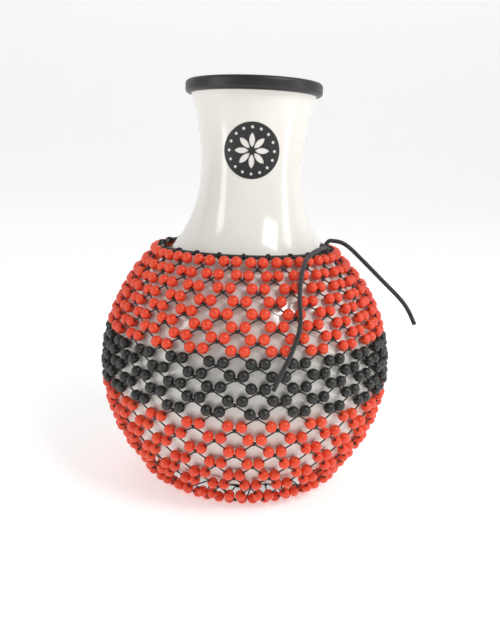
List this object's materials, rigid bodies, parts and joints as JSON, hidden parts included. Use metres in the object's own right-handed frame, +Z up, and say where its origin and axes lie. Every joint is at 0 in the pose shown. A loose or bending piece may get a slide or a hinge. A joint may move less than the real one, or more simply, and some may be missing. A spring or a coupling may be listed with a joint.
{
  "type": "shekere",
  "caption": "Hollow gourd-shaped shaker with an open flared neck and rubber rim, inside a loose net of beads knotted on string.",
  "frame": {"origin": "on the floor, on the gourd's axis", "axes": "+Z up along the gourd's axis towards the mouth, -Y is the front with the emblem"},
  "size_m": [0.2462, 0.2344, 0.3118],
  "materials": {
    "shell_white": "glossy warm white",
    "rim_rubber": "satin",
    "emblem_black": "satin",
    "bead_red": "satin orange-red",
    "bead_black": "satin",
    "string_black": "twisted string",
    "cord_black": "braided cord"
  },
  "bodies": {
    "gourd": {"shell": "shell_white", "rim_trim": "rim_rubber", "emblem": "emblem_black"},
    "net": {"neck_cord": "cord_black", "neck_knot": "cord_black", "front_tail": "cord_black", "side_tail": "cord_black", "base_cord": "cord_black", "neck_hitches": "string_black", "base_hitches": "string_black", "base_knot": "string_black", "string_course_01": "string_black", "string_course_02": "string_black", "string_course_03": "string_black", "string_course_04": "string_black", "string_course_05": "string_black", "string_course_06": "string_black", "string_course_07": "string_black", "string_course_08": "string_black", "string_course_09": "string_black", "string_course_10": "string_black", "string_course_11": "string_black", "string_course_12": "string_black", "string_course_13": "string_black", "string_course_14": "string_black", "string_course_15": "string_black", "string_course_16": "string_black", "string_course_17": "string_black", "string_course_18": "string_black", "string_course_19": "string_black", "string_course_20": "string_black", "string_course_21": "string_black", "bead_row_01": "bead_red", "bead_row_02": "bead_red", "bead_row_03": "bead_red", "bead_row_04": "bead_red", "bead_row_05": "bead_red", "bead_row_06": "bead_red", "bead_row_07": "bead_red", "bead_row_08": "bead_red", "bead_row_09": "bead_black", "bead_row_10": "bead_black", "bead_row_11": "bead_black", "bead_row_12": "bead_black", "bead_row_13": "bead_black", "bead_row_14": "bead_red", "bead_row_15": "bead_red", "bead_row_16": "bead_red", "bead_row_17": "bead_red", "bead_row_18": "bead_red", "bead_row_19": "bead_red", "bead_row_20": "bead_red", "bead_row_21": "bead_red"}
  },
  "joints": [
    {"name": "net_twist", "type": "hinge", "parent": "gourd", "child": "net", "pos_m": [0, 0, 0.095], "axis": [0, 0, 1], "continuous": true}
  ]
}
